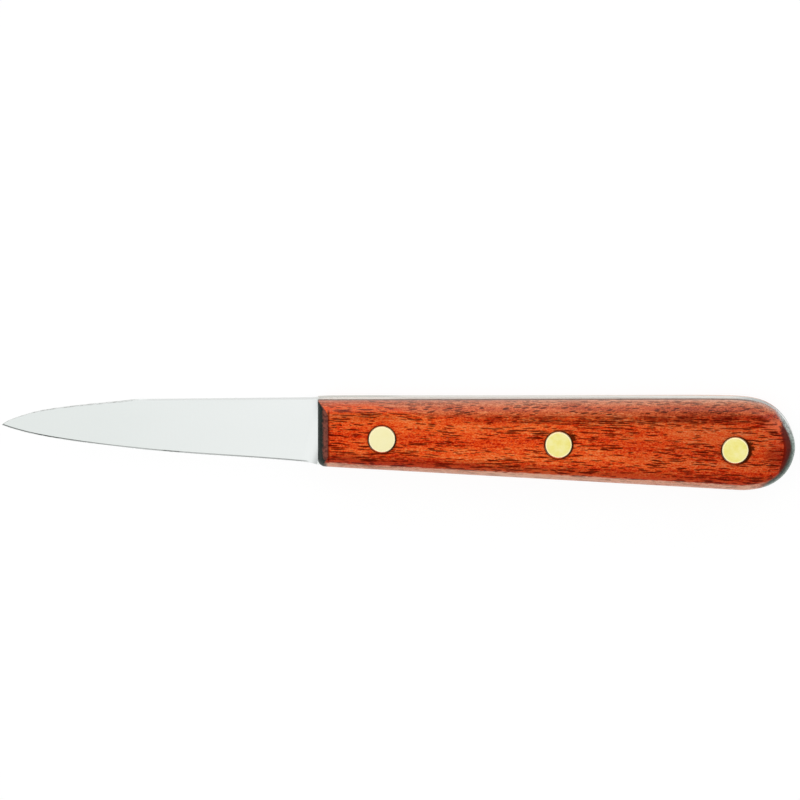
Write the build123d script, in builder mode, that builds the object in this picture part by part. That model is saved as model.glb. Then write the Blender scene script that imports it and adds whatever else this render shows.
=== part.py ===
from build123d import *
import os

# Fixed-blade full-tang hoof knife with two wooden scales and three
# two-piece compression rivets.
#
# Frame: the knife lies flat. +X runs from the tip to the butt, +Y from the
# cutting edge to the spine, +Z through the thickness. The origin is under the
# middle of the bounding box, on the lower scale's flat face.

# ---------------------------------------------------------------- dimensions
total_length = 200.0
blade_length = 79.75                 # exposed blade, tip to scale
handle_thickness = 13.0              # over both scales
tang_thickness = 2.6                 # at the front of the handle
tang_thickness_rear = 2.5            # the tang tapers a little towards the butt

tip_x = -total_length / 2
front_x = tip_x + blade_length       # front end of the scales
rear_x = total_length / 2
mid_z = handle_thickness / 2         # middle plane of the blade

# handle outline, shared by the tang and both scales
top_front_y = 11.23
top_rear_y = 11.44
bottom_front_y = -5.55
bottom_rear_y = -11.71
butt_start_x = 76.0
butt_end_x = 86.0

# the back of the tang stands a little proud of the wood, less and less until
# it meets the wood in the round of the butt
spine_heel_y = 11.23
proud_points = [
    (-17.4, 11.70),
    (8.0, 11.75),
    (36.0, 11.76),
    (54.0, 11.74),
    (66.0, 11.71),
    (76.0, 11.67),
    (82.5, 11.60),
    (87.4, 11.36),
    (91.5, 10.50),
    (95.1, 8.50),
    (98.0, 5.10),
]

# blade outline
clip_x = -66.5                       # where the spine drops towards the tip
clip_y = 10.86
tip_y = 4.39

# flat grind: half thickness at three places sets the ground plane
grind_heel_x = -24.0
grind_heel_y = -5.00
half_at_heel_edge = 0.13
half_at_heel_spine = 1.27
half_at_tip = 0.14
runout_x = -24.4                     # where the ground face starts to run out, at the edge
runout_skew = 15.0                   # degrees, the run-out leans back towards the spine
runout_radius = 7.2                  # radius of the wheel's shoulder, just ahead of the handle

# sharpened edge
edge_half = 0.02                     # half thickness of the very edge
edge_slope = 0.36                    # rise of the bevel per mm from the edge
edge_start = 0.0535                  # the edge is sharpened as far back as the ground face is thin
clip_break = 0.07                    # eased corners of the clip

# scales
edge_round = 3.5                     # rounding along top, butt and bottom
front_bevel_length = 2.62            # front end bevel, along the handle
front_bevel_depth = 3.5              # and into the thickness
front_bevel_crown = 0.55             # how far the bevel bulges
front_corner_round = 1.8             # lower front corner of each scale

# rivets
rivet_x = (-4.1, 40.35, 84.8)
rivet_y = (2.00, 0.58, -0.85)
rivet_names = ("front", "middle", "rear")
head_diameter = 6.6
head_height = 1.6
head_crown = 0.06
head_rim = 0.14
counterbore_diameter = 6.96
tube_diameter = 4.6
shank_hole = 4.8
tang_hole = 5.0
bore_diameter = 3.2
stud_diameter = 3.1
tube_end_z = 2.1                     # lower end of the tube
bore_top_z = 11.6                    # closed end of the tube's bore
stud_end_z = 11.1

os.makedirs("parts", exist_ok=True)


def handle_line_y(x, front_y, rear_y, rear_at):
    return front_y + (rear_y - front_y) * (x - front_x) / (rear_at - front_x)


def tang_half(x):
    f = (x - front_x) / (rear_x - front_x)
    return (tang_thickness + (tang_thickness_rear - tang_thickness) * f) / 2


# rounded butt, from the straight back round to the belly of the handle
butt_points = [
    (butt_start_x, top_rear_y),
    (82.5, 11.37),
    (87.4, 11.10),
    (91.4, 10.30),
    (95.0, 8.40),
    (98.0, 5.10),
    (99.55, 1.90),
    (100.0, -0.90),
    (99.38, -4.10),
    (97.92, -6.90),
    (95.62, -9.22),
    (92.5, -10.86),
    (89.2, -11.56),
    (butt_end_x, bottom_rear_y),
]

# sharpened edge, from the handle to the tip
edge_points = [
    (front_x, bottom_front_y),
    (-22.6, -5.24),
    (-26.0, -4.89),
    (-35.0, -4.16),
    (-50.0, -3.16),
    (-63.0, -2.07),
    (-75.0, -0.73),
    (-86.0, 0.89),
    (-94.0, 2.51),
    (tip_x, tip_y),
]
clip_points = [
    (tip_x, tip_y),
    (-99.1, 5.07),
    (-95.9, 6.46),
    (-91.5, 7.76),
    (-86.5, 8.67),
    (-80.0, 9.47),
    (-72.0, 10.24),
    (clip_x, clip_y),
]

# --------------------------------------------------------------- grind cutter
# The ground face is a plane that thins the steel towards the edge and towards
# the tip. Near the handle it curves up out of the steel on a radius, as a
# contact wheel leaves it.
slope_y = (half_at_heel_spine - half_at_heel_edge) / (top_front_y - grind_heel_y)
slope_x = (
    slope_y * (tip_y - grind_heel_y) - (half_at_tip - half_at_heel_edge)
) / (grind_heel_x - tip_x)

ground_normal = Vector(-slope_x, -slope_y, 1).normalized()
ground_height = (
    mid_z
    + half_at_heel_edge
    + slope_x * (runout_x - grind_heel_x)
    + slope_y * (grind_heel_y - grind_heel_y)
)
lean = Vector(0, 1, 0).rotate(Axis.Z, -runout_skew)
lean = Vector(lean.X, lean.Y, slope_x * lean.X + slope_y * lean.Y).normalized()
grind_plane = Plane(
    origin=(runout_x, grind_heel_y, ground_height),
    x_dir=lean.cross(ground_normal),
    z_dir=lean * -1,
)
rise = 3.0
run = (2 * runout_radius * rise - rise**2) ** 0.5
mid_run = runout_radius * 0.2
mid_rise = runout_radius - (runout_radius**2 - mid_run**2) ** 0.5
up = 1 if grind_plane.y_dir.Z > 0 else -1
fore = 1 if grind_plane.x_dir.X > 0 else -1

with BuildPart() as grind_cutter:
    with BuildSketch(grind_plane) as grind_profile:
        with BuildLine() as grind_line:
            ThreePointArc(
                (0, 0), (fore * mid_run, up * mid_rise), (fore * run, up * rise)
            )
            Polyline(
                (fore * run, up * rise),
                (fore * run, up * 8),
                (-fore * 110, up * 8),
                (-fore * 110, 0),
                (0, 0),
            )
        make_face()
    extrude(amount=110, both=True)

with BuildPart() as grind_cutter_lower:
    mirror(grind_cutter.part, about=Plane.XY.offset(mid_z))

# --------------------------------------------------------- edge bevel cutter
edge_curve = Spline(*[(x, y, mid_z) for x, y in edge_points])
bevel_path = edge_curve.trim(edge_start, 1.0)
bevel_start = bevel_path @ 0
bevel_dir = bevel_path % 0
bevel_plane = Plane(
    origin=bevel_start,
    x_dir=(-bevel_dir).cross(Vector(0, 0, 1)) * -1,
    z_dir=bevel_dir,
)
# local x of this plane points into the steel, local y up through it
if bevel_plane.x_dir.Y < 0:
    bevel_plane = Plane(
        origin=bevel_start, x_dir=bevel_plane.x_dir * -1, z_dir=bevel_dir
    )
up_sign = 1 if bevel_plane.y_dir.Z > 0 else -1

with BuildPart() as bevel_cutter:
    with BuildSketch(bevel_plane) as wedge:
        with BuildLine() as wedge_outline:
            Polyline(
                (-0.4, up_sign * (edge_half - 0.4 * edge_slope)),
                (1.1, up_sign * (edge_half + 1.1 * edge_slope)),
                (-0.4, up_sign * (edge_half + 1.1 * edge_slope)),
                close=True,
            )
        make_face()
    sweep(path=bevel_path)

with BuildPart() as bevel_cutter_lower:
    mirror(bevel_cutter.part, about=Plane.XY.offset(mid_z))

# --------------------------------------------------------------------- blade
with BuildPart() as blade:
    with BuildSketch(Plane.XY.offset(mid_z - tang_thickness / 2)) as blade_outline:
        with BuildLine() as blade_line:
            Line((clip_x, clip_y), (-21.8, spine_heel_y))
            Spline(
                (-21.8, spine_heel_y),
                proud_points[0],
                tangents=((1, 0.01), (1, 0.01)),
            )
            Spline(
                *proud_points,
                *butt_points[6:],
                tangents=((1, 0.01), (-1, 0.0581)),
            )
            Line((butt_end_x, bottom_rear_y), (front_x, bottom_front_y))
            Spline(*edge_points)
            Spline(*clip_points)
        make_face()
    extrude(amount=tang_thickness)

    # tang taper, both faces
    with BuildSketch(Plane.XZ) as taper:
        with BuildLine() as taper_upper:
            Polyline(
                (front_x, mid_z + tang_half(front_x)),
                (rear_x + 5, mid_z + tang_half(rear_x + 5)),
                (rear_x + 5, mid_z + 4),
                (front_x, mid_z + 4),
                close=True,
            )
        make_face()
    extrude(amount=30, both=True, mode=Mode.SUBTRACT)
    with BuildSketch(Plane.XZ) as taper_under:
        with BuildLine() as taper_lower:
            Polyline(
                (front_x, mid_z - tang_half(front_x)),
                (rear_x + 5, mid_z - tang_half(rear_x + 5)),
                (rear_x + 5, mid_z - 4),
                (front_x, mid_z - 4),
                close=True,
            )
        make_face()
    extrude(amount=30, both=True, mode=Mode.SUBTRACT)

    # ground faces and sharpened edge
    add(grind_cutter.part, mode=Mode.SUBTRACT)
    add(grind_cutter_lower.part, mode=Mode.SUBTRACT)
    add(bevel_cutter.part, mode=Mode.SUBTRACT)
    add(bevel_cutter_lower.part, mode=Mode.SUBTRACT)

    # eased corners along the clip
    clip_corners = [
        e
        for e in blade.edges()
        if e.center().X < clip_x + 1
        and e.center().Y > tip_y + 0.8
        and abs(e.center().Z - mid_z) > 0.2
        and e.length > 5
    ]
    chamfer(clip_corners, length=clip_break)

    # rivet holes
    with Locations(*[(x, y, mid_z) for x, y in zip(rivet_x, rivet_y)]):
        Hole(tang_hole / 2, depth=10)

blade.part.label = "blade"
export_step(blade.part, "parts/blade.step")

# -------------------------------------------------------------------- scales
with BuildPart() as upper_scale:
    with BuildSketch(Plane.XY.offset(mid_z)) as scale_outline:
        with BuildLine() as scale_line:
            Line((front_x, bottom_front_y), (front_x, top_front_y))
            Line((front_x, top_front_y), (butt_start_x, top_rear_y))
            Spline(*butt_points, tangents=((1, 0.001), (-1, 0.0581)))
            Line((butt_end_x, bottom_rear_y), (front_x, bottom_front_y))
        make_face()
    extrude(amount=mid_z)

    lower_corner = (
        upper_scale.edges()
        .filter_by(Axis.Z)
        .group_by(Axis.X)[0]
        .sort_by(Axis.Y)[0]
    )
    fillet(lower_corner, radius=front_corner_round)

    # rounded edge along the back, the butt and the belly
    rim = [
        e
        for e in upper_scale.faces().sort_by(Axis.Z)[-1].edges()
        if e.center().X > front_x + 0.05
    ]
    fillet(rim, radius=edge_round)

    # front end bevel, very slightly crowned
    with BuildSketch(Plane.XZ) as front_bevel:
        with BuildLine() as front_bevel_line:
            lower = (front_x, handle_thickness - front_bevel_depth)
            inner = (front_x + front_bevel_length, handle_thickness)
            crown = (
                (lower[0] + inner[0]) / 2 - front_bevel_crown * 0.8,
                (lower[1] + inner[1]) / 2 + front_bevel_crown * 0.6,
            )
            ThreePointArc(lower, crown, inner)
            Polyline(
                inner,
                (inner[0], handle_thickness + 2),
                (front_x - 3, handle_thickness + 2),
                (front_x - 3, lower[1]),
                lower,
            )
        make_face()
    extrude(amount=30, both=True, mode=Mode.SUBTRACT)

    # inner face that beds on the tapered tang
    with BuildSketch(Plane.XZ) as bedding:
        with BuildLine() as bedding_line:
            Polyline(
                (front_x - 5, mid_z - 1),
                (rear_x + 5, mid_z - 1),
                (rear_x + 5, mid_z + tang_half(rear_x + 5)),
                (front_x - 5, mid_z + tang_half(front_x - 5)),
                close=True,
            )
        make_face()
    extrude(amount=30, both=True, mode=Mode.SUBTRACT)

    # rivet seats
    with Locations(*[(x, y, handle_thickness) for x, y in zip(rivet_x, rivet_y)]):
        CounterBoreHole(
            radius=shank_hole / 2,
            counter_bore_radius=counterbore_diameter / 2,
            counter_bore_depth=head_height,
            depth=handle_thickness,
        )

upper_scale.part.label = "upper_scale"
export_step(upper_scale.part, "parts/upper_scale.step")

with BuildPart() as lower_scale:
    mirror(upper_scale.part, about=Plane.XY.offset(mid_z))

lower_scale.part.label = "lower_scale"
export_step(lower_scale.part, "parts/lower_scale.step")

# -------------------------------------------------------------------- rivets
# Each rivet is a tubular half whose head sits in the upper scale and a solid
# stud half whose head sits in the lower scale and whose shank fills the tube.
for name, rx, ry in zip(rivet_names, rivet_x, rivet_y):
    axis_plane = Plane(origin=(rx, ry, 0), x_dir=(1, 0, 0), z_dir=(0, -1, 0))

    with BuildPart() as tube:
        with BuildSketch(axis_plane) as tube_profile:
            with BuildLine() as tube_line:
                top = handle_thickness
                hr = head_diameter / 2
                Line((0, bore_top_z), (0, top))
                ThreePointArc(
                    (0, top),
                    (hr * 0.5, top - head_crown * 0.25),
                    (hr - head_rim, top - head_crown),
                )
                TangentArc(
                    (hr - head_rim, top - head_crown),
                    (hr, top - head_crown - head_rim),
                    tangent=(1, -0.04),
                )
                Polyline(
                    (hr, top - head_crown - head_rim),
                    (hr, top - head_height),
                    (tube_diameter / 2, top - head_height),
                    (tube_diameter / 2, tube_end_z + 0.25),
                    (tube_diameter / 2 - 0.25, tube_end_z),
                    (bore_diameter / 2, tube_end_z),
                    (bore_diameter / 2, bore_top_z),
                    (0, bore_top_z),
                )
            make_face()
        revolve(axis=Axis((rx, ry, 0), (0, 0, 1)))
    tube.part.label = name + "_rivet_tube"
    export_step(tube.part, "parts/" + name + "_rivet_tube.step")

    with BuildPart() as stud:
        with BuildSketch(axis_plane) as stud_profile:
            with BuildLine() as stud_line:
                Line((0, stud_end_z), (0, 0))
                ThreePointArc(
                    (0, 0),
                    (hr * 0.5, head_crown * 0.25),
                    (hr - head_rim, head_crown),
                )
                TangentArc(
                    (hr - head_rim, head_crown),
                    (hr, head_crown + head_rim),
                    tangent=(1, 0.04),
                )
                Polyline(
                    (hr, head_crown + head_rim),
                    (hr, head_height),
                    (stud_diameter / 2, head_height),
                    (stud_diameter / 2, stud_end_z - 0.4),
                    (stud_diameter / 2 - 0.4, stud_end_z),
                    (0, stud_end_z),
                )
            make_face()
        revolve(axis=Axis((rx, ry, 0), (0, 0, 1)))
    stud.part.label = name + "_rivet_stud"
    export_step(stud.part, "parts/" + name + "_rivet_stud.step")
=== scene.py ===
import math

import bmesh
import bpy
import numpy as np
from mathutils import Matrix, Vector
from mathutils.geometry import delaunay_2d_cdt


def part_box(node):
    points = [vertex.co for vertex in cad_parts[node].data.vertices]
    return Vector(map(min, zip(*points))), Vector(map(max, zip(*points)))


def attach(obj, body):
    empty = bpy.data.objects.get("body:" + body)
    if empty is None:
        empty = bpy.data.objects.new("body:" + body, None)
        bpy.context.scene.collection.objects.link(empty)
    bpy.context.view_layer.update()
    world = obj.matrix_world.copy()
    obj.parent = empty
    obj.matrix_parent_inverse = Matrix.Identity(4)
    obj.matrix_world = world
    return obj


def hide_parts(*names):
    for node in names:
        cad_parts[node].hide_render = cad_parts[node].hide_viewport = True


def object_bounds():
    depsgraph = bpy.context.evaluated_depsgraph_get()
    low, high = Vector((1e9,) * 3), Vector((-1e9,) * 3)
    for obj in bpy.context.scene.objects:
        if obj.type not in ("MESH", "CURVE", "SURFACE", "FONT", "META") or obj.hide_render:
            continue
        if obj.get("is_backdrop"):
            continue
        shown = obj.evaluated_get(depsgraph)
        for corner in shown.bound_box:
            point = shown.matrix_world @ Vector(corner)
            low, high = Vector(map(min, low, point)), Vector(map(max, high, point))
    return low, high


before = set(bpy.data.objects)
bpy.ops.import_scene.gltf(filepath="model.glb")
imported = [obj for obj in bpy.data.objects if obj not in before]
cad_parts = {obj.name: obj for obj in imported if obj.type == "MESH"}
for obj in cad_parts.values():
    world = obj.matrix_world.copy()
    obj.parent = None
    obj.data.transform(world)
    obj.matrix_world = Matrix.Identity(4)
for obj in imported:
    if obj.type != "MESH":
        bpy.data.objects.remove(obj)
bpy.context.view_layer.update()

MM = 0.001
scene = bpy.context.scene
scene.view_settings.view_transform = "Standard"
scene.view_settings.look = "None"
scene.view_settings.exposure = 0.0
scene.view_settings.gamma = 1.0


def lin(r, g, b):
    """sRGB 0-255 to linear."""
    out = []
    for c in (r, g, b):
        c /= 255.0
        out.append(c / 12.92 if c <= 0.04045 else ((c + 0.055) / 1.055) ** 2.4)
    return (out[0], out[1], out[2], 1.0)


class Tree:
    """Small helper for node trees."""

    def __init__(self, tree):
        self.t = tree
        self.t.nodes.clear()

    def n(self, kind, **props):
        node = self.t.nodes.new(kind)
        for k, v in props.items():
            if k == "inputs":
                for name, value in v.items():
                    self.put(node.inputs[name], value)
            else:
                setattr(node, k, v)
        return node

    def put(self, socket, value):
        if isinstance(value, bpy.types.NodeSocket):
            self.t.links.new(value, socket)
        elif isinstance(value, bpy.types.Node):
            self.t.links.new(value.outputs[0], socket)
        else:
            socket.default_value = value

    def math(self, op, a, b=None, c=None, clamp=False):
        node = self.n("ShaderNodeMath", operation=op, use_clamp=clamp)
        self.put(node.inputs[0], a)
        if b is not None:
            self.put(node.inputs[1], b)
        if c is not None:
            self.put(node.inputs[2], c)
        return node.outputs[0]

    def mul(self, *vals):
        out = vals[0]
        for v in vals[1:]:
            out = self.math("MULTIPLY", out, v)
        return out

    def add(self, *vals):
        out = vals[0]
        for v in vals[1:]:
            out = self.math("ADD", out, v)
        return out

    def vmath(self, op, a, b=None, scale=None):
        node = self.n("ShaderNodeVectorMath", operation=op)
        self.put(node.inputs[0], a)
        if b is not None:
            self.put(node.inputs[1], b)
        if scale is not None:
            self.put(node.inputs["Scale"], scale)
        return node.outputs["Value"] if op in ("LENGTH", "DOT_PRODUCT", "DISTANCE") else node.outputs[0]

    def smooth(self, v, lo, hi, out_lo=0.0, out_hi=1.0):
        node = self.n("ShaderNodeMapRange", interpolation_type="SMOOTHSTEP", clamp=True)
        self.put(node.inputs["Value"], v)
        self.put(node.inputs["From Min"], lo)
        self.put(node.inputs["From Max"], hi)
        self.put(node.inputs["To Min"], out_lo)
        self.put(node.inputs["To Max"], out_hi)
        return node.outputs["Result"]

    def noise(self, vec, scale=1.0, detail=3.0, rough=0.5, distort=0.0, out="Fac"):
        node = self.n("ShaderNodeTexNoise")
        self.put(node.inputs["Vector"], vec)
        self.put(node.inputs["Scale"], scale)
        self.put(node.inputs["Detail"], detail)
        self.put(node.inputs["Roughness"], rough)
        self.put(node.inputs["Distortion"], distort)
        return node.outputs[out]

    def stretch(self, vec, sx, sy, sz, loc=(0, 0, 0)):
        node = self.n("ShaderNodeMapping")
        self.put(node.inputs["Vector"], vec)
        node.inputs["Scale"].default_value = (sx, sy, sz)
        node.inputs["Location"].default_value = loc
        return node.outputs[0]

    def mix(self, fac, a, b, blend="MIX"):
        node = self.n("ShaderNodeMix", data_type="RGBA", blend_type=blend)
        self.put(node.inputs[0], fac)
        self.put(node.inputs[6], a)
        self.put(node.inputs[7], b)
        return node.outputs[2]

    def ramp(self, fac, stops, interp="LINEAR"):
        node = self.n("ShaderNodeValToRGB")
        cr = node.color_ramp
        cr.interpolation = interp
        while len(cr.elements) < len(stops):
            cr.elements.new(0.5)
        for el, (pos, col) in zip(cr.elements, stops):
            el.position = pos
            el.color = col
        self.put(node.inputs[0], fac)
        return node.outputs[0]

    def dashes(self, p, long, thick, r_small, r_large, keep, seed):
        """Tapered dashes along X: stretched cells, some of which hold one."""
        v = self.n("ShaderNodeTexVoronoi", voronoi_dimensions="3D", feature="F1")
        q = self.stretch(p, 1.0 / (long * MM), 1.0 / (thick * MM), 1.0 / (thick * MM), seed)
        self.put(v.inputs["Vector"], q)
        v.inputs["Scale"].default_value = 1.0
        v.inputs["Randomness"].default_value = 1.0
        rnd = self.n("ShaderNodeSeparateColor")
        self.put(rnd.inputs[0], v.outputs["Color"])
        radius = self.add(r_small, self.mul(rnd.outputs[0], r_large - r_small))
        body = self.smooth(self.math("DIVIDE", v.outputs["Distance"], radius), 1.0, 0.62)
        held = self.math("LESS_THAN", rnd.outputs[1], keep)
        depth = self.add(0.74, self.mul(rnd.outputs[2], 0.26))
        return self.mul(body, held, depth)

    def link(self, a, b):
        self.t.links.new(a, b)


def new_material(name):
    m = bpy.data.materials.new(name)
    m.use_nodes = True
    return m, Tree(m.node_tree)


RIVETS = []
for name in ("front", "middle", "rear"):
    lo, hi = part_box(name + "_rivet_tube")
    RIVETS.append((float((lo.x + hi.x) / 2), float((lo.y + hi.y) / 2)))

UP_LO, UP_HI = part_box("upper_scale")
BLADE_LO, BLADE_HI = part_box("blade")
FRONT_X = UP_LO.x / MM
REAR_X = UP_HI.x / MM
TOP_Z = UP_HI.z / MM
MID_Z = TOP_Z / 2
TANG_HALF_FRONT = (BLADE_HI.z - BLADE_LO.z) / 2 / MM
TANG_HALF_REAR = TANG_HALF_FRONT - 0.05


# -------------------------------------------------------------------- scales
TOP_FRONT_Y, TOP_REAR_Y = 11.23, 11.44
BOTTOM_FRONT_Y, BOTTOM_REAR_Y = -5.55, -11.71
BUTT_START_X, BUTT_END_X = 76.0, 86.0
BUTT_POINTS = np.array([
    (76.0, 11.44), (82.5, 11.37), (87.4, 11.10), (91.4, 10.30), (95.0, 8.40),
    (98.0, 5.10), (99.55, 1.90), (100.0, -0.90), (99.38, -4.10), (97.92, -6.90),
    (95.62, -9.22), (92.5, -10.86), (89.2, -11.56), (86.0, -11.71),
])
EDGE_ROUND = 3.5
BEVEL_LENGTH, BEVEL_DEPTH, BEVEL_CROWN = 2.62, 3.5, 0.55
LOWER_CORNER = 1.8


def clamped_spline(pts, t0, t1, n):
    """C2 cubic through pts by chord length with end directions; n samples."""
    d = np.linalg.norm(np.diff(pts, axis=0), axis=1)
    s = np.concatenate(([0.0], np.cumsum(d)))
    m = len(pts)
    t0 = np.array(t0) / np.linalg.norm(t0)
    t1 = np.array(t1) / np.linalg.norm(t1)
    a = np.zeros((m, m))
    rhs = np.zeros((m, 2))
    a[0, 0] = a[-1, -1] = 1.0
    rhs[0], rhs[-1] = t0, t1
    for i in range(1, m - 1):
        h0, h1 = d[i - 1], d[i]
        a[i, i - 1] = 1 / h0
        a[i, i] = 2 * (1 / h0 + 1 / h1)
        a[i, i + 1] = 1 / h1
        rhs[i] = 3 * ((pts[i] - pts[i - 1]) / h0**2 + (pts[i + 1] - pts[i]) / h1**2)
    k = np.linalg.solve(a, rhs)
    u = np.linspace(0, s[-1], n)
    i = np.clip(np.searchsorted(s, u, side="right") - 1, 0, m - 2)
    h = d[i][:, None]
    w = ((u - s[i]) / d[i])[:, None]
    p0, p1, k0, k1 = pts[i], pts[i + 1], k[i] * h, k[i + 1] * h
    p = (2 * w**3 - 3 * w**2 + 1) * p0 + (w**3 - 2 * w**2 + w) * k0 + (-2 * w**3 + 3 * w**2) * p1 + (w**3 - w**2) * k1
    q = (6 * w**2 - 6 * w) * p0 + (3 * w**2 - 4 * w + 1) * k0 + (-6 * w**2 + 6 * w) * p1 + (3 * w**2 - 2 * w) * k1
    return p, q / np.linalg.norm(q, axis=1)[:, None]


BUTT_P, BUTT_T = clamped_spline(BUTT_POINTS, (1, 0.001), (-1, 0.0581), 110)
BUTT_IN = np.stack((BUTT_T[:, 1], -BUTT_T[:, 0]), axis=1)      # towards the inside
N_TOP, N_BOTTOM, N_FRONT, N_LOWER, N_UPPER = 96, 104, 30, 9, 5


def bevel_x(z):
    """Front end of the scale at height z: the crowned bevel."""
    z0, z1 = TOP_Z - BEVEL_DEPTH, TOP_Z
    if z <= z0:
        return FRONT_X
    c = math.hypot(BEVEL_LENGTH, BEVEL_DEPTH)
    r = (c * c / 4 + BEVEL_CROWN**2) / (2 * BEVEL_CROWN)
    ux, uz = BEVEL_LENGTH / c, BEVEL_DEPTH / c
    cx = FRONT_X + BEVEL_LENGTH / 2 + uz * (r - BEVEL_CROWN)
    cz = (z0 + z1) / 2 - ux * (r - BEVEL_CROWN)
    return cx - math.sqrt(max(r * r - (z - cz) ** 2, 0.0))


def top_line(x, d):
    m = (TOP_REAR_Y - TOP_FRONT_Y) / (BUTT_START_X - FRONT_X)
    return TOP_FRONT_Y + m * (x - FRONT_X) - d * math.hypot(1, m)


def bottom_line(x, d):
    m = (BOTTOM_REAR_Y - BOTTOM_FRONT_Y) / (BUTT_END_X - FRONT_X)
    return BOTTOM_FRONT_Y + m * (x - FRONT_X) + d * math.hypot(1, m)


def corner(p, u_in, u_out, r, n):
    """Arc of radius r between two directions meeting at p, ends left out of nothing."""
    u_in, u_out = np.array(u_in), np.array(u_out)
    u_in, u_out = u_in / np.linalg.norm(u_in), u_out / np.linalg.norm(u_out)
    turn = math.acos(np.clip(np.dot(u_in, u_out), -1, 1))
    t = r * math.tan(turn / 2)
    a, b = p - u_in * t, p + u_out * t
    left = np.array((-u_in[1], u_in[0]))
    if np.dot(left, u_out) < 0:
        left = -left
    c = a + left * r
    out = []
    for w in np.linspace(0, 1, n):
        ang = turn * w
        v = -left * math.cos(ang) + u_in * math.sin(ang)
        out.append(c + v * r)
    return np.array(out), a, b


def contour(d, x_front):
    """Closed contour, inset by d, with its front at x_front (clockwise from the top)."""
    m_t = (TOP_REAR_Y - TOP_FRONT_Y) / (BUTT_START_X - FRONT_X)
    m_b = (BOTTOM_REAR_Y - BOTTOM_FRONT_Y) / (BUTT_END_X - FRONT_X)
    top = np.array((x_front, top_line(x_front, d)))
    low = np.array((x_front, bottom_line(x_front, d)))
    up_arc, up_a, up_b = corner(top, (0, 1), (1, m_t), 0.22, N_UPPER)
    lo_arc, lo_a, lo_b = corner(low, (-1, -m_b), (0, 1), max(0.22, LOWER_CORNER - d), N_LOWER)
    butt = BUTT_P + BUTT_IN * d
    w = np.linspace(0, 1, N_TOP + 2)[1:-1, None]
    top_run = up_b * (1 - w) + butt[0] * w
    w = np.linspace(0, 1, N_BOTTOM + 2)[1:-1, None]
    bottom_run = butt[-1] * (1 - w) + lo_a * w
    w = np.linspace(0, 1, N_FRONT + 2)[1:-1, None]
    front_run = lo_b * (1 - w) + up_a * w
    return np.concatenate((up_arc, top_run, butt, bottom_run, lo_arc, front_run))


def hand_finish(x, y, seed):
    """Slow unevenness left by the sanding belt, 0 to 1."""
    rng = np.random.default_rng(seed)
    out = np.zeros_like(x)
    total = 0.0
    for _ in range(7):
        wx = rng.uniform(0.12, 0.42)
        wy = rng.uniform(0.15, 0.75)
        ph = rng.uniform(0, 6.283)
        amp = rng.uniform(0.5, 1.0)
        out += amp * np.sin(x * wx + y * wy + ph)
        total += amp
    return 0.5 + 0.5 * out / total


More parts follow.
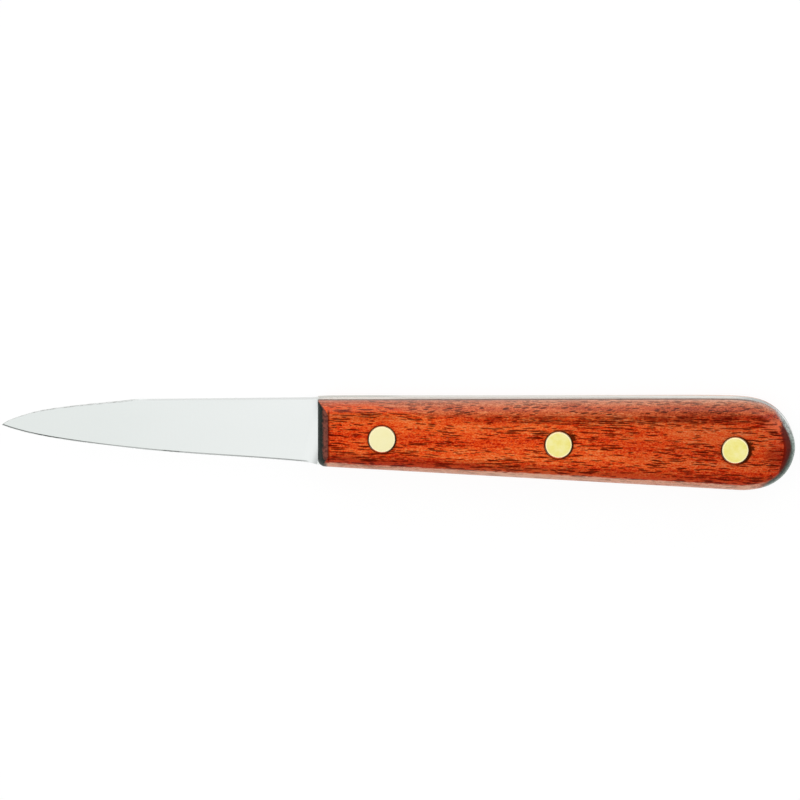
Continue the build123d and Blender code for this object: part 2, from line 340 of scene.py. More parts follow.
def build_scale(name, flip, seed):
    head = RIVETS
    seat_r, seat_d = 3.48, 1.6
    shank_r = 2.4
    verts, faces = [], []

    def z_bed(x):
        f = (x - FRONT_X) / (REAR_X - FRONT_X)
        return MID_Z + TANG_HALF_FRONT + (TANG_HALF_REAR - TANG_HALF_FRONT) * f

    # contours from the bedding plane up to the flat face
    z_shoulder = TOP_Z - EDGE_ROUND
    rings = []
    base = contour(0.0, FRONT_X)
    for w in (0.0, 0.30, 0.62, 0.86):
        zz = z_bed(base[:, 0]) * (1 - w) + z_shoulder * w
        rings.append(np.column_stack((base, zz)))
    steps = 26
    for k in range(steps + 1):
        phi = math.pi / 2 * k / steps
        z = z_shoulder + EDGE_ROUND * math.sin(phi)
        d = EDGE_ROUND * (1 - math.cos(phi))
        ring = contour(d, bevel_x(z))
        rings.append(np.column_stack((ring, np.full(len(ring), z))))
    n = len(rings[0])

    # unevenness, inwards only, none at the bedding plane or on the flat face's border
    centre = np.array((40.0, 0.5))
    for k, ring in enumerate(rings):
        if 0 < k < len(rings) - 1:
            fade = min(1.0, k / 4.0) * min(1.0, (len(rings) - 1 - k) / 8.0)
            h = hand_finish(ring[:, 0], ring[:, 1] * 1.3 + ring[:, 2] * 0.7, seed) * 0.045 * fade
            mid_y = np.interp(ring[:, 0], (FRONT_X, BUTT_END_X), (2.85, -0.1))
            away = ring[:, 1] - mid_y
            ring[:, 1] -= np.sign(away) * h * np.clip(np.abs(away) / 3.0, 0, 1)
            butt_w = np.clip((ring[:, 0] - 90) / 8, 0, 1)
            ring[:, 0] -= h * butt_w

    for ring in rings:
        verts.extend(map(tuple, ring))
    for k in range(len(rings) - 1):
        a, b = k * n, (k + 1) * n
        for i in range(n):
            j = (i + 1) % n
            faces.append((a + i, a + j, b + j, b + i))

    def circle(cx, cy, r, m=72):
        ang = np.arange(m) * 2 * math.pi / m
        return np.column_stack((cx + r * np.cos(ang), cy + r * np.sin(ang)))

    def cap(outer_xy, outer_start, z_of, hole_r, grid_step, top):
        """Fill a ring, less three round holes; returns the hole rims' vertex indices."""
        pts = [tuple(p) for p in outer_xy]
        idx = [outer_start + i for i in range(len(pts))]
        loops = [list(range(len(pts)))]
        rims = []
        for cx, cy in head:
            c = circle(cx / MM, cy / MM, hole_r)
            s = len(pts)
            zs = z_of(c[:, 0], c[:, 1], 0.0)
            for (px, py), pz in zip(c, zs):
                pts.append((px, py))
                idx.append(len(verts))
                verts.append((px, py, pz))
            loops.append(list(range(s, s + len(c))))
            rims.append([idx[i] for i in range(s, s + len(c))])
        if grid_step:
            x0, x1 = outer_xy[:, 0].min(), outer_xy[:, 0].max()
            y0, y1 = outer_xy[:, 1].min(), outer_xy[:, 1].max()
            gx, gy = np.meshgrid(np.arange(x0, x1, grid_step), np.arange(y0, y1, grid_step))
            gx[::2] += grid_step / 2
            g = np.column_stack((gx.ravel(), gy.ravel()))
            poly = outer_xy
            inside = np.zeros(len(g), bool)
            px, py = poly[:, 0], poly[:, 1]
            qx, qy = np.roll(px, -1), np.roll(py, -1)
            dist = np.full(len(g), 1e9)
            for a0, b0, a1, b1 in zip(px, py, qx, qy):
                hit = (b0 > g[:, 1]) != (b1 > g[:, 1])
                if b1 != b0:
                    xc = (a1 - a0) * (g[:, 1] - b0) / (b1 - b0) + a0
                    inside ^= hit & (g[:, 0] < xc)
                ex, ey = a1 - a0, b1 - b0
                l2 = ex * ex + ey * ey
                if l2 > 0:
                    w = np.clip(((g[:, 0] - a0) * ex + (g[:, 1] - b0) * ey) / l2, 0, 1)
                    dist = np.minimum(dist, np.hypot(g[:, 0] - a0 - w * ex, g[:, 1] - b0 - w * ey))
            near = np.full(len(g), 1e9)
            for cx, cy in head:
                near = np.minimum(near, np.hypot(g[:, 0] - cx / MM, g[:, 1] - cy / MM) - hole_r)
            ok = inside & (dist > grid_step * 0.55) & (near > grid_step * 0.45)
            g, dist, near = g[ok], dist[ok], near[ok]
            fade = np.clip(np.minimum(dist, near) / 3.0, 0, 1)
            zs = z_of(g[:, 0], g[:, 1], fade)
            for (qx_, qy_), qz in zip(g, zs):
                pts.append((qx_, qy_))
                idx.append(len(verts))
                verts.append((qx_, qy_, qz))
        edges = []
        for lp in loops:
            edges += [(lp[i], lp[(i + 1) % len(lp)]) for i in range(len(lp))]
        # inside the outline only: its straight runs would leave slivers along the hull
        res = delaunay_2d_cdt([Vector(p) for p in pts], edges, [], 1, 1e-7)
        out_v, out_f, orig_v = res[0], res[2], res[3]
        back = [o[0] for o in orig_v]
        for f in out_f:
            c = sum((np.array(out_v[i]) for i in f), np.zeros(2)) / 3
            if any(math.hypot(c[0] - cx / MM, c[1] - cy / MM) < hole_r * math.cos(math.pi / 72) * 0.9995 for cx, cy in head):
                continue
            tri = [idx[back[i]] for i in f]
            faces.append(tuple(tri if top else tri[::-1]))
        return rims

    def z_face(x, y, fade):
        return TOP_Z - 0.035 * fade * hand_finish(x, y, seed + 5)

    top_rims = cap(rings[-1][:, :2], (len(rings) - 1) * n, z_face, seat_r, 1.1, True)
    bed_rims = cap(rings[0][:, :2], 0, lambda x, y, f: z_bed(x), shank_r, 0, False)

    # rivet seats: short wall, shelf, shank hole
    for (cx, cy), top_rim, bed_rim in zip(head, top_rims, bed_rims):
        m = len(top_rim)
        levels = [top_rim]
        for r, z in (
            (seat_r - 0.02, TOP_Z - 0.06),
            (seat_r - 0.02, TOP_Z - seat_d + 0.05),
            (seat_r - 0.07, TOP_Z - seat_d),
            (shank_r + 0.05, TOP_Z - seat_d),
            (shank_r, TOP_Z - seat_d - 0.05),
        ):
            c = circle(cx / MM, cy / MM, r, m)
            s = len(verts)
            verts.extend((p[0], p[1], z) for p in c)
            levels.append(list(range(s, s + m)))
        levels.append(bed_rim)
        for up, dn in zip(levels[:-1], levels[1:]):
            for i in range(m):
                j = (i + 1) % m
                faces.append((up[i], dn[i], dn[j], up[j]))

    v = np.array(verts)
    if flip:
        v[:, 2] = TOP_Z - v[:, 2]
    mesh = bpy.data.meshes.new(name)
    mesh.from_pydata([tuple(p) for p in v * MM], [], faces)
    mesh.update()
    bm = bmesh.new()
    bm.from_mesh(mesh)
    bmesh.ops.recalc_face_normals(bm, faces=bm.faces)
    if bm.calc_volume(signed=True) < 0:
        bmesh.ops.reverse_faces(bm, faces=bm.faces)
    for e in bm.edges:
        e.smooth = len(e.link_faces) == 2 and e.calc_face_angle(0.0) < math.radians(24)
    for f in bm.faces:
        f.smooth = True
    bm.to_mesh(mesh)
    bm.free()
    o = bpy.data.objects.new(name, mesh)
    scene.collection.objects.link(o)
    return o


# ------------------------------------------------------------------ materials
def wood_material(name, seed, photographed):
    m, t = new_material(name)
    geo = t.n("ShaderNodeNewGeometry")
    obj = t.n("ShaderNodeTexCoord").outputs["Object"]
    sep_n = t.n("ShaderNodeSeparateXYZ", inputs={"Vector": geo.outputs["Normal"]})
    sep_p = t.n("ShaderNodeSeparateXYZ", inputs={"Vector": obj})
    px, py = sep_p.outputs["X"], sep_p.outputs["Y"]
    nx, ny, nz = sep_n.outputs["X"], sep_n.outputs["Y"], sep_n.outputs["Z"]
    up = t.math("ABSOLUTE", nz)
    facing = t.vmath("DOT_PRODUCT", geo.outputs["Normal"], geo.outputs["Incoming"])
    off = t.vmath("ADD", obj, (seed * 0.137, seed * 0.071, seed * 0.053))

    # the grain wanders, and runs a little downhill towards the butt
    lean = t.n("ShaderNodeCombineXYZ")
    t.put(lean.inputs["Y"], t.mul(px, 0.045))
    wander = t.noise(t.stretch(off, 26, 70, 70), 1.0, 2.0, 0.5, out="Color")
    wander = t.vmath("MULTIPLY", t.vmath("SUBTRACT", wander, (0.5, 0.5, 0.5)), (0.0, 0.0026, 0.0026))
    jitter = t.noise(t.stretch(off, 420, 900, 900), 1.0, 1.0, 0.5, out="Color")
    jitter = t.vmath("MULTIPLY", t.vmath("SUBTRACT", jitter, (0.5, 0.5, 0.5)), (0.0, 0.00034, 0.00034))
    p = t.vmath("ADD", t.vmath("ADD", t.vmath("ADD", off, wander), jitter), lean)
    # rounded back: the cut crosses the grain, so the pores climb
    climb = t.n("ShaderNodeCombineXYZ")
    t.put(climb.inputs["Y"], t.mul(px, -0.13))
    p_back = t.vmath("ADD", t.vmath("ADD", off, jitter), climb)

    broad = t.noise(t.stretch(p, 20, 210, 210), 1.0, 3.0, 0.55)
    mid = t.noise(t.stretch(p, 140, 1450, 1450), 1.0, 3.0, 0.62)
    fine = t.noise(t.stretch(p, 560, 4000, 4000), 1.0, 2.0, 0.6)
    grit = t.noise(t.stretch(off, 2400, 4600, 4600), 1.0, 1.0, 0.5)
    tone = t.add(
        0.54,
        t.mul(t.math("SUBTRACT", broad, 0.5), 0.95),
        t.mul(t.math("SUBTRACT", mid, 0.5), 0.62),
        t.mul(t.math("SUBTRACT", fine, 0.5), 0.70),
        t.mul(t.math("SUBTRACT", grit, 0.5), 0.85),
    )
    col = t.ramp(
        tone,
        [
            (0.14, lin(158, 20, 2)),
            (0.32, lin(208, 40, 5)),
            (0.46, lin(238, 68, 17)),
            (0.58, lin(250, 94, 34)),
            (0.72, lin(255, 122, 52)),
            (0.90, lin(255, 148, 94)),
        ],
    )
    spark = t.smooth(t.noise(t.stretch(off, 2000, 3400, 3400, (6, 2, 9)), 1.0, 2.0, 0.6), 0.48, 0.74)
    col = t.mix(t.mul(spark, 0.34), col, lin(255, 150, 92))
    # redder and darker towards the butt, redder just behind the front bevel
    rear = t.smooth(px, 0.034, 0.088)
    col = t.mix(t.mul(rear, 0.80), col, t.mix(1.0, col, lin(222, 214, 236), "MULTIPLY"))
    fore = t.smooth(px, -0.006, -0.017)
    col = t.mix(t.mul(fore, 0.45), col, t.mix(1.0, col, lin(250, 212, 205), "MULTIPLY"))
    last = t.smooth(px, 0.0915, 0.0965)
    col = t.mix(t.mul(last, 0.80), col, t.mix(1.0, col, lin(240, 206, 236), "MULTIPLY"))

    # rounded back: painted sheen, the light box's reflection in the finish, browner and greyer, lighter where it
    # faces up
    narrow = t.smooth(px, 0.010, -0.008, 0.0, 0.0026)
    back = t.smooth(t.add(py, t.mul(t.math("SUBTRACT", mid, 0.5), 0.0012), t.mul(narrow, -1.0)), 0.0074, 0.0086)
    high = t.smooth(ny, 0.58, 0.92)
    tan = t.ramp(tone, [(0.2, lin(124, 44, 22)), (0.45, lin(194, 92, 52)), (0.62, lin(214, 112, 68)), (0.8, lin(232, 146, 100))])
    back_sheen_lit = t.ramp(tone, [(0.2, lin(122, 62, 34)), (0.5, lin(188, 124, 90)), (0.8, lin(224, 170, 138))])
    col = t.mix(t.mul(back, 0.80), col, t.mix(high, tan, back_sheen_lit))
    # painted shade: darker orange towards the front where the face starts to round over at the top
    fore_shade = t.mul(t.smooth(py, 0.0062, 0.0074), t.smooth(px, 0.008, -0.006))
    col = t.mix(t.mul(fore_shade, 0.34), col, lin(176, 62, 16))
    # dark mottled band just below it
    band = t.mul(t.smooth(py, 0.0056, 0.0067), t.smooth(py, 0.0086, 0.0076), t.smooth(px, 0.006, 0.034))
    blot = t.smooth(t.noise(t.stretch(off, 420, 900, 900, (5, 3, 1)), 1.0, 3.0, 0.6), 0.38, 0.62)
    col = t.mix(t.mul(band, t.add(0.24, t.mul(blot, 0.54))), col, lin(112, 20, 8))
    # painted shade: the belly darker, darkest where it starts to turn under, then pale
    belly_y = t.add(py, t.mul(px, 0.058))
    belly = t.mul(t.smooth(belly_y, -0.0014, -0.0038), t.smooth(px, 0.060, 0.000, 0.70, 1.0))
    col = t.mix(t.mul(belly, 0.60), col, lin(128, 20, 16))
    under = t.math("MULTIPLY", ny, -1.0)
    # painted light: the start of the turn under is lifted to a brighter orange
    turn = t.mul(t.smooth(under, 0.05, 0.30), t.smooth(px, 0.094, 0.086))
    col = t.mix(t.mul(turn, 0.30), col, lin(240, 84, 44))

    # a painted highlight patch and a painted shade patch in front of the butt
    for sx, sy, rx, ry, amount, tint in (
        (0.0950, 0.0058, 0.0034, 0.0020, 0.48, lin(255, 132, 84)),
        (0.0950, -0.0022, 0.0034, 0.0030, 0.46, lin(100, 22, 10)),
    ):
        q = t.n("ShaderNodeCombineXYZ")
        t.put(q.inputs["X"], t.math("DIVIDE", t.add(px, -sx), rx))
        t.put(q.inputs["Y"], t.math("DIVIDE", t.add(py, -sy), ry))
        patch = t.smooth(t.add(t.vmath("LENGTH", q), t.mul(t.math("SUBTRACT", mid, 0.5), 0.8)), 1.15, 0.35)
        col = t.mix(t.mul(patch, amount), col, tint)

    # pores: dark dashes along the grain, in loose clusters
    cluster = t.smooth(t.noise(t.stretch(p, 52, 230, 230, (1.2, 8.8, 2.1)), 1.0, 2.0, 0.5), 0.36, 0.60)
    more = t.add(1.0, t.mul(rear, 0.25))
    keep_a = t.mul(t.add(0.19, t.mul(cluster, 0.75), t.mul(belly, 0.12)), more)
    keep_b = t.mul(t.add(0.17, t.mul(cluster, 0.50), t.mul(band, 0.45), t.mul(belly, 0.25)), more)
    face = t.smooth(back, 0.7, 0.2)
    a = t.dashes(p, 6.0, 0.47, 0.30, 0.60, keep_a, (3.1, 1.7, 0.4))
    b = t.dashes(p, 2.4, 0.42, 0.28, 0.56, keep_b, (7.3, 2.9, 5.2))
    c = t.dashes(p_back, 2.4, 0.50, 0.30, 0.60, 0.74, (4.4, 6.1, 2.2))
    streak = t.smooth(t.noise(t.stretch(p, 95, 2100, 2100, (2.2, 4.8, 7.1)), 1.0, 1.5, 0.5), 0.58, 0.72)
    dash_face = t.math("MAXIMUM", t.math("MAXIMUM", a, t.mul(b, 0.9)), t.mul(streak, 0.16))
    dash = t.math("MAXIMUM", t.mul(dash_face, t.add(0.20, t.mul(face, 0.80))), t.mul(c, back, 1.0))
    dash = t.math("MINIMUM", dash, 1.0)
    # pores on the rounded back are paler under the painted sheen, lighter still where it faces up
    dash_col = t.mix(back, lin(76, 3, 0), t.mix(high, lin(80, 30, 16), lin(110, 72, 56)))
    col = t.mix(t.mul(dash, 0.96), col, dash_col)

    # painted reflection: the belly's lower round is pale at grazing view, the white floor's sheen in the finish
    floor_sheen = t.mul(t.smooth(t.add(under, t.mul(t.math("SUBTRACT", fine, 0.5), 0.20), t.smooth(px, -0.015, 0.055, -0.05, 0.0)), 0.42, 0.54), t.smooth(px, 0.096, 0.088), t.smooth(facing, 0.90, 0.76))
    floor_sheen_col = t.mix(t.smooth(tone, 0.3, 0.7), lin(244, 152, 118), lin(255, 202, 172))
    col = t.mix(t.mul(floor_sheen, t.add(0.88, t.mul(dash, -0.45))), col, floor_sheen_col)

    # end grain takes the stain dark, with painted shade where the ends face the dark sides: butt and front bevel
    ragged = t.mul(t.math("SUBTRACT", fine, 0.5), 0.22)
    over = t.math("MAXIMUM", ny, 0.0)
    below = t.math("MAXIMUM", under, 0.0)
    maroon = t.smooth(t.add(nx, t.mul(ragged, 0.5), t.mul(over, -0.95), t.mul(below, -0.72)), 0.09, 0.17)
    col = t.mix(t.mul(maroon, 0.90), col, t.mix(t.smooth(nx, 0.20, 0.50), lin(112, 18, 8), lin(82, 36, 32)))
    # painted reflection: grey sheen of the finish on the butt's outer round at grazing view, paler where it faces up
    butt_sheen = t.mul(t.smooth(t.add(nx, t.mul(ragged, 0.6), t.mul(below, 0.90)), 0.57, 0.74), t.smooth(nx, 0.14, 0.32), t.smooth(facing, 0.84, 0.60))
    tilt = t.math("SQRT", t.math("MAXIMUM", t.math("SUBTRACT", 1.0, t.mul(nz, nz)), 0.0))
    pepper = t.smooth(t.noise(t.stretch(off, 1800, 1800, 1800, (8, 1, 6)), 1.0, 2.0, 0.6), 0.40, 0.64)
    butt_sheen_col = t.mix(t.smooth(tilt, 0.66, 0.97), lin(92, 102, 93), lin(184, 202, 193))
    butt_sheen_col = t.mix(t.mul(pepper, 0.50), butt_sheen_col, lin(48, 54, 50))
    butt_sheen_top_col = t.mix(t.mul(pepper, 0.74), lin(190, 196, 192), lin(74, 76, 70))
    col = t.mix(butt_sheen, col, t.mix(t.smooth(ny, 0.10, 0.50), butt_sheen_col, butt_sheen_top_col))
    # front bevel: painted shade where it faces the dark tip side, mauve, and greenish black on the steep outer part
    # and at the lower front corner
    steep = t.smooth(nx, -0.20, -0.38)
    low_end = t.smooth(py, -0.0026, -0.0050)
    outer = t.smooth(t.add(nx, t.mul(t.math("SUBTRACT", mid, 0.5), 0.22), t.mul(low_end, -0.32)), -0.63, -0.77)
    speck = t.smooth(t.noise(t.stretch(off, 1500, 1500, 1500, (3, 9, 4)), 1.0, 2.0, 0.6), 0.42, 0.66)
    mauve = t.mix(t.mul(speck, 0.70), lin(136, 74, 60), lin(60, 26, 22))
    pitch = t.mix(t.mul(speck, 0.60), lin(30, 40, 34), lin(8, 12, 9))
    col = t.mix(steep, col, t.mix(outer, mauve, pitch))
    toe = t.mul(t.smooth(px, FRONT_X * MM + 0.0027, FRONT_X * MM + 0.0019), t.smooth(t.add(py, t.mul(t.math("SUBTRACT", mid, 0.5), 0.0012)), -0.0034, -0.0046))
    col = t.mix(t.mul(toe, 0.88), col, t.mix(t.mul(speck, 0.6), lin(66, 78, 70), lin(22, 28, 24)))
    rim_line = t.mul(t.smooth(px, FRONT_X * MM + 0.00236, FRONT_X * MM + 0.00256), t.smooth(px, FRONT_X * MM + 0.00308, FRONT_X * MM + 0.00280), t.smooth(up, 0.80, 0.95))
    col = t.mix(t.mul(rim_line, 0.74), col, lin(86, 8, 3))

    # painted shadow: the narrow flat of the wood beside the proud tang is dark on the near scale
    pz = sep_p.outputs["Z"]
    rise = t.math("SUBTRACT", t.math("ABSOLUTE", t.math("SUBTRACT", pz, MID_Z * MM)), TANG_HALF_FRONT * MM)
    tang_crease_shadow = t.mul(t.smooth(t.add(rise, t.mul(t.math("SUBTRACT", fine, 0.5), 0.0006)), 0.00150, 0.00085), t.smooth(ny, 0.80, 0.95), t.smooth(px, 0.094, 0.088))
    if photographed:
        col = t.mix(t.mul(tang_crease_shadow, 0.92), col, lin(98, 66, 52))
    else:
        # painted reflection: at grazing view the narrow flats turn pale, and grey near the front where they face up
        flat = t.mul(t.smooth(t.math("ABSOLUTE", ny), 0.90, 0.98), t.smooth(facing, 0.60, 0.35))
        col = t.mix(t.mul(flat, 0.70), col, lin(232, 206, 188))
        col = t.mix(t.mul(t.smooth(ny, 0.80, 0.92), t.smooth(px, -0.0135, -0.0170), t.smooth(facing, 0.60, 0.35), 0.85), col, lin(214, 214, 206))

    # dark line of finish around each rivet with a soft darker halo; beside two of them the dark ring widens to one
    # side and darker patches lie
    ring = None
    for i, (rx, ry) in enumerate(RIVETS):
        d = t.vmath("MULTIPLY", t.vmath("SUBTRACT", obj, (rx, ry, 0.0)), (1, 1, 0))
        k = t.smooth(t.vmath("LENGTH", d), 0.00356, 0.00388, 1.0, 0.0)
        if photographed and i > 0:
            e = t.vmath("MULTIPLY", t.vmath("SUBTRACT", obj, (rx + (0.00012, 0.00048)[i - 1], ry + (0.00008, -0.00004)[i - 1], 0.0)), (1, 1, 0))
            k = t.math("MAXIMUM", k, t.smooth(t.vmath("LENGTH", e), 0.00352, 0.00384, 1.0, 0.0))
            for sx, sy, sr in (((0.0033, 0.0019, 0.0013),), ((0.0036, 0.0018, 0.0008), (0.0042, 0.0006, 0.0008), (0.0037, -0.0009, 0.0007)))[i - 1]:
                g = t.vmath("MULTIPLY", t.vmath("SUBTRACT", obj, (rx + sx, ry + sy, 0.0)), (0.8, 1.0, 0))
                spot = t.smooth(t.add(t.vmath("LENGTH", g), t.mul(t.math("SUBTRACT", grit, 0.5), 0.0012), t.mul(t.math("SUBTRACT", fine, 0.5), 0.0010)), sr, sr * 0.5)
                k = t.math("MAXIMUM", k, t.mul(spot, 0.92))
        k = t.math("MAXIMUM", k, t.smooth(t.vmath("LENGTH", d), 0.0045, 0.0036, 0.0, 0.26))
        ring = k if ring is None else t.math("MAXIMUM", ring, k)
    col = t.mix(t.mul(ring, t.smooth(up, 0.5, 0.9)), col, lin(76, 24, 4))

    slope = t.smooth(up, 0.99, 0.86)
    matt = t.math("SUBTRACT", 1.0, t.mul(t.math("MAXIMUM", steep, maroon), 0.45))
    bump_h = t.add(t.mul(dash, -1.0), t.mul(fine, 0.30), t.mul(grit, 0.12))
    bump = t.n("ShaderNodeBump", inputs={"Strength": 0.45, "Distance": 0.00007, "Height": bump_h})
    bsdf = t.n("ShaderNodeBsdfPrincipled")
    t.put(bsdf.inputs["Base Color"], col)
    t.put(bsdf.inputs["Roughness"], t.add(0.46, t.mul(dash, 0.22)))
    t.put(bsdf.inputs["Specular IOR Level"], t.mul(t.add(0.002, t.mul(slope, 0.20)), matt))
    t.put(bsdf.inputs["Coat Weight"], t.mul(slope, 0.26, matt))
    t.put(bsdf.inputs["Coat Roughness"], t.add(0.20, t.mul(fine, 0.10)))
    t.put(bsdf.inputs["Normal"], bump.outputs[0])
    out = t.n("ShaderNodeOutputMaterial")
    t.link(bsdf.outputs[0], out.inputs[0])
    return m


EDGE_POINTS = np.array([
    (-26.0, -4.89), (-35.0, -4.16), (-50.0, -3.16), (-63.0, -2.07), (-75.0, -0.73),
    (-86.0, 0.89), (-94.0, 2.51), (-100.0, 4.39),
])


def edge_fit():
    """Polynomial y(x), in mm, of the cutting edge."""
    run, _ = clamped_spline(EDGE_POINTS, (-35.0 + 26.0, 0.72), (-1.0, 0.335), 400)
    return np.polynomial.polynomial.polyfit((run[:, 0] + 60.0) / 40.0, run[:, 1], 6)


def steel_material():
    m, t = new_material("satin_steel")
    geo = t.n("ShaderNodeNewGeometry")
    obj = t.n("ShaderNodeTexCoord").outputs["Object"]
    sep_n = t.n("ShaderNodeSeparateXYZ", inputs={"Vector": geo.outputs["True Normal"]})
    sep_p = t.n("ShaderNodeSeparateXYZ", inputs={"Vector": obj})
    px, py, pz = sep_p.outputs["X"], sep_p.outputs["Y"], sep_p.outputs["Z"]
    ny = sep_n.outputs["Y"]
    up = t.math("ABSOLUTE", sep_n.outputs["Z"])
    lines = t.noise(t.stretch(obj, 1900, 120, 1900), 1.0, 2.0, 0.6)
    cloud = t.noise(t.stretch(obj, 22, 60, 60), 1.0, 2.0, 0.5)
    tone = t.add(0.5, t.mul(t.math("SUBTRACT", lines, 0.5), 0.10), t.mul(t.math("SUBTRACT", cloud, 0.5), 0.30), t.smooth(px, -0.098, -0.020, -0.12, 0.16))
    col = t.ramp(tone, [(0.2, lin(227, 233, 230)), (0.8, lin(247, 250, 249))])

    # the narrow faces: sharpened edge, clip wall, spine and the tang's back
    nick = t.noise(t.stretch(obj, 900, 900, 900), 1.0, 3.0, 0.65)
    u = t.math("MULTIPLY_ADD", px, 1.0 / (40.0 * MM), 1.5)
    coef = edge_fit()
    y_edge = float(coef[-1])
    for c in coef[-2::-1]:
        y_edge = t.math("MULTIPLY_ADD", u, y_edge, float(c))
    above = t.math("SUBTRACT", t.math("MULTIPLY", py, 1.0 / MM), y_edge)
    ragged = t.mul(t.math("SUBTRACT", nick, 0.5), 0.14)
    hair = t.mul(t.smooth(t.add(above, ragged), 0.46, 0.30), t.smooth(t.add(above, ragged), 0.08, 0.17), t.smooth(px, -0.0222, -0.0236))
    hair = t.mul(hair, t.math("MAXIMUM", t.smooth(px, -0.070, -0.084, 0.58, 1.0), t.mul(t.smooth(px, -0.0602, -0.0590), t.smooth(px, -0.0540, -0.0556), 0.9)))
    worn = t.math("MAXIMUM", t.mul(t.smooth(px, -0.0925, -0.0905), t.smooth(px, -0.0848, -0.0868)), t.mul(t.smooth(px, -0.0602, -0.0590), t.smooth(px, -0.0540, -0.0556)))
    sharp = t.mix(t.mul(t.smooth(nick, 0.40, 0.60), t.add(0.25, t.mul(worn, 0.75))), lin(132, 136, 134), lin(44, 48, 46))
    clip = t.mul(t.smooth(up, 0.90, 0.80), t.smooth(ny, 0.05, 0.20), t.smooth(px, -0.064, -0.068))
    clip_col = t.mix(t.smooth(nick, 0.46, 0.66), lin(214, 217, 215), lin(170, 173, 170))
    wall = t.mul(t.smooth(up, 0.5, 0.2), t.smooth(ny, 0.5, 0.9))
    spine = t.mul(wall, t.smooth(px, -0.066, -0.062), t.smooth(px, -0.0185, -0.0215))
    ledge = t.mul(t.smooth(py, 0.01122, 0.01136), t.smooth(px, -0.0204, -0.0198))
    tang = t.math("MAXIMUM", t.mul(wall, t.smooth(px, -0.0215, -0.0185)), ledge)
    # painted light and shade on the tang's back: the top ledge lighter than the steel, the wall darker grey towards
    # the front
    hood = t.smooth(px, 0.003, -0.004)
    tang_col = t.mix(t.mul(wall, hood), lin(218, 216, 210), lin(198, 197, 190))
    tang_col = t.mix(t.mul(ledge, t.math("SUBTRACT", 1.0, wall)), tang_col, lin(248, 244, 236))
    tang_col = t.mix(t.smooth(px, 0.083, 0.091), tang_col, lin(176, 180, 178))
    honed = t.mul(t.smooth(above, 0.18, 0.10), t.smooth(px, -0.0222, -0.0236))
    edge = t.math("MAXIMUM", hair, honed)
    col = t.mix(honed, col, lin(244, 247, 245))
    col = t.mix(hair, col, sharp)
    col = t.mix(clip, col, clip_col)
    col = t.mix(spine, col, lin(216, 219, 217))
    col = t.mix(tang, col, tang_col)
    dull = t.math("MAXIMUM", t.math("MAXIMUM", t.mul(edge, 0.95), t.mul(clip, 0.8)), t.mul(tang, 0.92))
    bump = t.n("ShaderNodeBump", inputs={"Strength": 0.05, "Distance": 0.00001, "Height": lines})
    bsdf = t.n("ShaderNodeBsdfPrincipled")
    t.put(bsdf.inputs["Base Color"], col)
    t.put(bsdf.inputs["Metallic"], t.math("SUBTRACT", 1.0, dull))
    t.put(bsdf.inputs["Roughness"], t.add(0.27, t.mul(lines, 0.06), t.mul(cloud, 0.05), t.mul(dull, 0.30)))
    t.put(bsdf.inputs["Specular IOR Level"], 0.2)
    t.put(bsdf.inputs["Emission Color"], (1.0, 0.99, 0.95, 1.0))
    # painted light: the tang's top ledge glows faintly, more towards the front, none towards the rear
    t.put(bsdf.inputs["Emission Strength"], t.mul(ledge, t.math("SUBTRACT", 1.0, wall), t.add(0.06, t.mul(hood, 0.12)), t.smooth(px, 0.060, 0.030)))
    t.put(bsdf.inputs["Normal"], bump.outputs[0])
    out = t.n("ShaderNodeOutputMaterial")
    t.link(bsdf.outputs[0], out.inputs[0])
    return m


def brass_material():
    m, t = new_material("brass")
    obj = t.n("ShaderNodeTexCoord").outputs["Object"]
    px = t.n("ShaderNodeSeparateXYZ", inputs={"Vector": obj}).outputs["X"]
    scr = t.noise(t.stretch(obj, 900, 7000, 3000), 1.0, 2.0, 0.6)
    blot = t.noise(t.stretch(obj, 520, 520, 520), 1.0, 2.0, 0.55)
    col = t.ramp(t.add(0.5, t.mul(t.math("SUBTRACT", blot, 0.5), 1.1), t.mul(t.math("SUBTRACT", scr, 0.5), 0.25)),
                 [(0.2, lin(238, 224, 118)), (0.5, lin(246, 237, 150)), (0.8, lin(252, 244, 178))])
    pale = t.smooth(px, 0.012, 0.004)
    col = t.mix(t.mul(pale, 0.75), col, lin(250, 243, 198))
    # painted highlight: a pale ring near each rivet head's rim, less metallic and faintly glowing
    edge = None
    for rx, ry in RIVETS:
        d = t.vmath("MULTIPLY", t.vmath("SUBTRACT", obj, (rx, ry, 0.0)), (1, 1, 0))
        k = t.mul(t.smooth(t.vmath("LENGTH", d), 0.00290, 0.00314), t.math("LESS_THAN", t.vmath("LENGTH", d), 0.0036))
        edge = k if edge is None else t.math("MAXIMUM", edge, k)
    col = t.mix(t.mul(edge, 0.70), col, lin(255, 244, 206))
    bump = t.n("ShaderNodeBump", inputs={"Strength": 0.08, "Distance": 0.00001, "Height": scr})
    bsdf = t.n("ShaderNodeBsdfPrincipled")
    t.put(bsdf.inputs["Base Color"], col)
    t.put(bsdf.inputs["Emission Color"], lin(255, 226, 168))
    t.put(bsdf.inputs["Emission Strength"], t.mul(edge, 0.21))
    t.put(bsdf.inputs["Metallic"], t.math("SUBTRACT", 1.0, t.mul(edge, 0.75)))
    t.put(bsdf.inputs["Roughness"], t.add(0.28, t.mul(blot, 0.10)))
    t.put(bsdf.inputs["Normal"], bump.outputs[0])
    out = t.n("ShaderNodeOutputMaterial")
    t.link(bsdf.outputs[0], out.inputs[0])
    return m


WOOD_U = wood_material("wood_upper", 1.0, True)
WOOD_L = wood_material("wood_lower", 2.0, False)
STEEL = steel_material()
BRASS = brass_material()


def assign(o, mat):
    o.data.materials.clear()
    o.data.materials.append(mat)


for n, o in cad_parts.items():
    if n == "blade":
        assign(o, STEEL)
    elif n.endswith(("_tube", "_stud")):
        assign(o, BRASS)

for node, flip, mat, seed in (("upper_scale", False, WOOD_U, 11), ("lower_scale", True, WOOD_L, 23)):
    o = build_scale(node + "_wood", flip, seed)
    assign(o, mat)
    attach(o, "root")
    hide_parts(node)

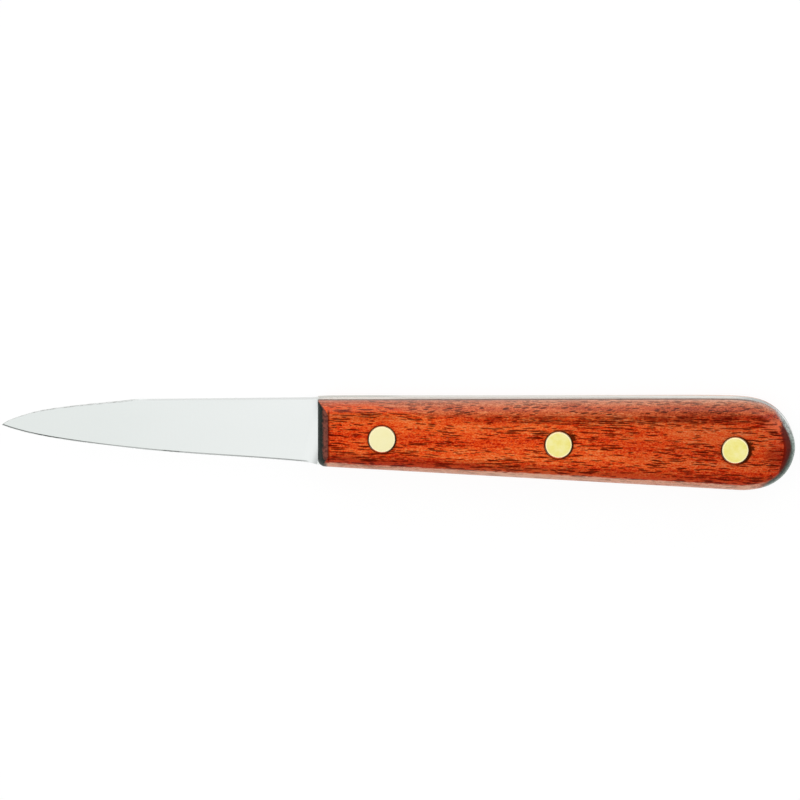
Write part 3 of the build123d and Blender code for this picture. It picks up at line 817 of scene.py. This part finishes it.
# ----------------------------------------------------------------------- stage
bpy.ops.mesh.primitive_plane_add(size=6.0, location=(0, 0, 0))
floor = bpy.context.active_object
floor.name = "studio_floor"
fm, t = new_material("floor_paper")
d = t.n("ShaderNodeBsdfDiffuse", inputs={"Color": (0.11, 0.11, 0.11, 1)})
e = t.n("ShaderNodeEmission", inputs={"Color": (1, 1, 1, 1), "Strength": 0.92})
a = t.n("ShaderNodeAddShader")
t.link(d.outputs[0], a.inputs[0])
t.link(e.outputs[0], a.inputs[1])
out = t.n("ShaderNodeOutputMaterial")
t.link(a.outputs[0], out.inputs[0])
assign(floor, fm)
floor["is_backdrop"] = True

world = bpy.data.worlds.new("studio")
scene.world = world
world.use_nodes = True
t = Tree(world.node_tree)
gen = t.n("ShaderNodeTexCoord").outputs["Generated"]
sep = t.n("ShaderNodeSeparateXYZ", inputs={"Vector": gen})
wx, wy = sep.outputs["X"], sep.outputs["Y"]
butt_end = t.smooth(wx, 0.42, 0.80, 1.0, 0.07)                      # the butt's end is dark
tip_end = t.smooth(wx, -0.62, -0.93, 1.0, 0.45)                     # the tip's end less so
near = t.smooth(wy, -0.54, -0.78, 1.0, 0.08)                        # the edge's side is dark
far = t.smooth(wy, 0.30, 0.70, 0.0, 0.45)                           # a large soft box behind the back
lp = t.n("ShaderNodeLightPath")
low_sky = t.smooth(sep.outputs["Z"], 0.22, 0.80, 0.60, 1.0)                # the boxes' glow, seen in gloss, fades downwards
mirror = t.mix(lp.outputs["Is Glossy Ray"], (1, 1, 1, 1), low_sky)
level = t.mul(butt_end, tip_end, near, t.add(1.0, far), mirror)
bg = t.n("ShaderNodeBackground", inputs={"Color": (1, 1, 1, 1)})
t.put(bg.inputs["Strength"], level)
bg2 = t.n("ShaderNodeBackground", inputs={"Color": (1, 1, 1, 1), "Strength": 1.0})
mx = t.n("ShaderNodeMixShader")
t.put(mx.inputs[0], lp.outputs["Is Camera Ray"])
t.link(bg.outputs[0], mx.inputs[1])
t.link(bg2.outputs[0], mx.inputs[2])
out = t.n("ShaderNodeOutputWorld")
t.link(mx.outputs[0], out.inputs[0])

# ---------------------------------------------------------------------- camera
TILT = math.radians(12.0)
FRAME_W = 0.20159
cam_data = bpy.data.cameras.new("camera")
cam_data.sensor_width = 36.0
cam_data.lens = 400.0
cam_data.clip_start = 0.05
cam_data.clip_end = 20.0
cam = bpy.data.objects.new("camera", cam_data)
scene.collection.objects.link(cam)
back_dir = Vector((0.0, math.sin(TILT), math.cos(TILT)))
target = Vector((0.44 * MM, 10.80 * MM, 6.5 * MM))
cam.location = target + back_dir * (FRAME_W * cam_data.lens / cam_data.sensor_width)
z = back_dir
y = Vector((0.0, math.cos(TILT), -math.sin(TILT)))
x = y.cross(z)
cam.rotation_mode = "QUATERNION"
cam.rotation_quaternion = Matrix((x, y, z)).transposed().to_quaternion()
scene.camera = cam

lo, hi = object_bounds()
